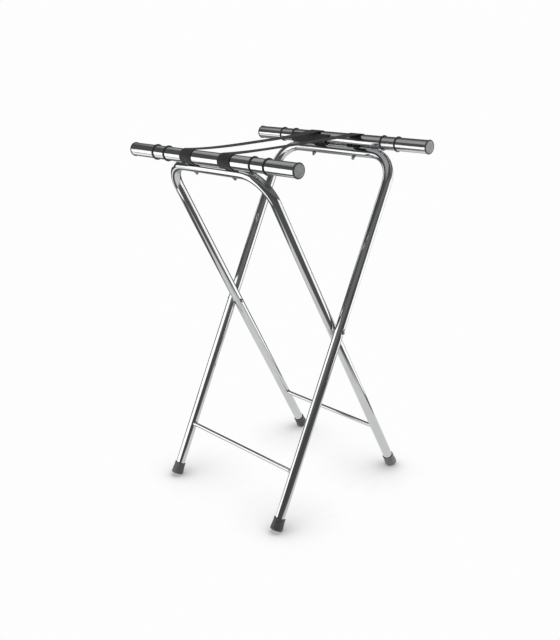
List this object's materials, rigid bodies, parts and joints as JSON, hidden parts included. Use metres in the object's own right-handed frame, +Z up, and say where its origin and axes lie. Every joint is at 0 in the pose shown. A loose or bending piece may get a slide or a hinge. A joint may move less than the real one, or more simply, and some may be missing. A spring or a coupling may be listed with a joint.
{
  "type": "folding luggage rack",
  "caption": "Tall folding X stand of bent chromed tube with a round bar on top of each frame, rubber grip rings, tapered rubber feet and webbing straps between the bars.",
  "frame": {"origin": "on the floor, at the centre of the bounding box, below the line through the two pivot rivets", "axes": "+X along the top bars, +Y across the spread of the legs, towards the top of the wider frame b, +Z up"},
  "size_m": [0.5345, 0.4298, 0.8031],
  "materials": {
    "chrome": "polished chrome plate on steel tube",
    "fastener": "bright plated steel",
    "end_cap": "moulded grey plastic",
    "rubber": "moulded black rubber",
    "rubber_ring": "smooth black rubber",
    "nylon": "natural nylon",
    "webbing": "black woven webbing"
  },
  "bodies": {
    "inner_frame": {"frame_a": "chrome", "stretcher_a": "chrome", "top_bar_a": "chrome", "end_cap_a_left": "end_cap", "foot_a_left": "rubber", "bar_bolt_a_left": "fastener", "cap_nut_a_left": "fastener", "end_cap_a_right": "end_cap", "foot_a_right": "rubber", "bar_bolt_a_right": "fastener", "cap_nut_a_right": "fastener", "grip_ring_a_1": "rubber_ring", "grip_ring_a_2": "rubber_ring", "grip_ring_a_3": "rubber_ring", "grip_ring_a_4": "rubber_ring", "pivot_rivet_left": "fastener", "pivot_washer_left": "nylon", "pivot_rivet_right": "fastener", "pivot_washer_right": "nylon", "strap_left_wrap_a": "webbing", "strap_right_wrap_a": "webbing"},
    "outer_frame": {"frame_b": "chrome", "stretcher_b": "chrome", "top_bar_b": "chrome", "end_cap_b_left": "end_cap", "foot_b_left": "rubber", "bar_bolt_b_left": "fastener", "cap_nut_b_left": "fastener", "end_cap_b_right": "end_cap", "foot_b_right": "rubber", "bar_bolt_b_right": "fastener", "cap_nut_b_right": "fastener", "grip_ring_b_1": "rubber_ring", "grip_ring_b_2": "rubber_ring", "grip_ring_b_3": "rubber_ring", "grip_ring_b_4": "rubber_ring", "strap_left_wrap_b": "webbing", "strap_right_wrap_b": "webbing"},
    "straps_half_a": {"strap_left_span_a": "webbing", "strap_right_span_a": "webbing"},
    "straps_half_b": {"strap_left_span_b": "webbing", "strap_right_span_b": "webbing"},
    "straps_tail_b": {"strap_left_top_b": "webbing", "strap_right_top_b": "webbing"}
  },
  "joints": [
    {"name": "fold", "type": "hinge", "parent": "inner_frame", "child": "outer_frame", "pos_m": [0, 0, 0.4065], "axis": [1, 0, 0], "range_deg": [0, 48.4]},
    {"name": "straps_off_bar_a", "type": "hinge", "parent": "inner_frame", "child": "straps_half_a", "pos_m": [0, -0.19162, 0.78585], "axis": [1, 0, 0], "range_deg": [-65.1, 0], "deforming": ["strap_left_span_a", "strap_right_span_a"]},
    {"name": "straps_middle", "type": "hinge", "parent": "straps_half_a", "child": "straps_half_b", "pos_m": [0, 0, 0.80262], "axis": [1, 0, 0], "range_deg": [0, 178.6], "deforming": ["strap_left_span_b", "strap_right_span_b"]},
    {"name": "straps_off_bar_b", "type": "hinge", "parent": "outer_frame", "child": "straps_tail_b", "pos_m": [0, 0.19162, 0.78585], "axis": [1, 0, 0], "range_deg": [0, 65.1], "deforming": ["strap_left_top_b", "strap_right_top_b"]}
  ],
  "couplings": [
    {"joint": "straps_off_bar_a", "follows": "fold", "ratio": -1.344},
    {"joint": "straps_middle", "follows": "fold", "ratio": 3.688},
    {"joint": "straps_off_bar_b", "follows": "fold", "ratio": 1.344}
  ]
}
